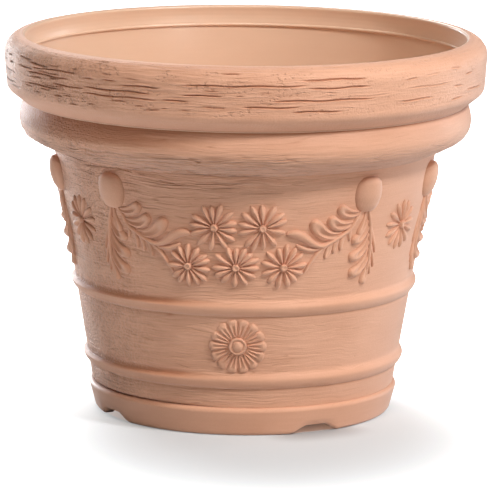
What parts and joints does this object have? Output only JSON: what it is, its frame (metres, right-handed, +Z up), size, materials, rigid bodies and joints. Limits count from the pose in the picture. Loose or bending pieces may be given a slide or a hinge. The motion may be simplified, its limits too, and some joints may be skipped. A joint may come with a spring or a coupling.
{
  "type": "flower pot",
  "caption": "Round tapered garden flower pot with a rolled rim, stepped collar, two hoops and moulded flower festoons, open at the top with drain holes below.",
  "frame": {"origin": "centre of the pot on the ground plane that its foot ring stands on", "axes": "+Z up along the pot's axis; -Y faces the front, where the middle of a festoon and its rosette are; +X is to the right seen from the front"},
  "size_m": [0.5, 0.5, 0.392],
  "materials": {
    "terracotta_body": "matte, brushed and hewn outside, smooth inside",
    "terracotta_ornament": "matte, softly rounded relief"
  },
  "bodies": {
    "root": {"wall": "terracotta_body", "collar": "terracotta_body", "neck": "terracotta_body", "rim_cap": "terracotta_body", "upper_hoop": "terracotta_body", "lower_hoop": "terracotta_body", "foot_ring": "terracotta_body", "floor_plate": "terracotta_body", "bay_daisy_1": "terracotta_ornament", "bay_daisy_2": "terracotta_ornament", "bay_daisy_3": "terracotta_ornament", "daisy_1_lower_left": "terracotta_ornament", "daisy_1_lower_middle": "terracotta_ornament", "daisy_1_lower_right": "terracotta_ornament", "daisy_1_upper_left": "terracotta_ornament", "daisy_1_upper_right": "terracotta_ornament", "daisy_2_lower_left": "terracotta_ornament", "daisy_2_lower_middle": "terracotta_ornament", "daisy_2_lower_right": "terracotta_ornament", "daisy_2_upper_left": "terracotta_ornament", "daisy_2_upper_right": "terracotta_ornament", "daisy_3_lower_left": "terracotta_ornament", "daisy_3_lower_middle": "terracotta_ornament", "daisy_3_lower_right": "terracotta_ornament", "daisy_3_upper_left": "terracotta_ornament", "daisy_3_upper_right": "terracotta_ornament", "knob_1_left": "terracotta_ornament", "knob_1_right": "terracotta_ornament", "knob_2_left": "terracotta_ornament", "knob_2_right": "terracotta_ornament", "knob_3_left": "terracotta_ornament", "knob_3_right": "terracotta_ornament", "leaf_drop_1_left": "terracotta_ornament", "leaf_drop_1_right": "terracotta_ornament", "leaf_drop_2_left": "terracotta_ornament", "leaf_drop_2_right": "terracotta_ornament", "leaf_drop_3_left": "terracotta_ornament", "leaf_drop_3_right": "terracotta_ornament", "leaf_spray_1_left": "terracotta_ornament", "leaf_spray_1_right": "terracotta_ornament", "leaf_spray_2_left": "terracotta_ornament", "leaf_spray_2_right": "terracotta_ornament", "leaf_spray_3_left": "terracotta_ornament", "leaf_spray_3_right": "terracotta_ornament", "rosette_1": "terracotta_ornament", "rosette_2": "terracotta_ornament", "rosette_3": "terracotta_ornament"}
  },
  "joints": []
}
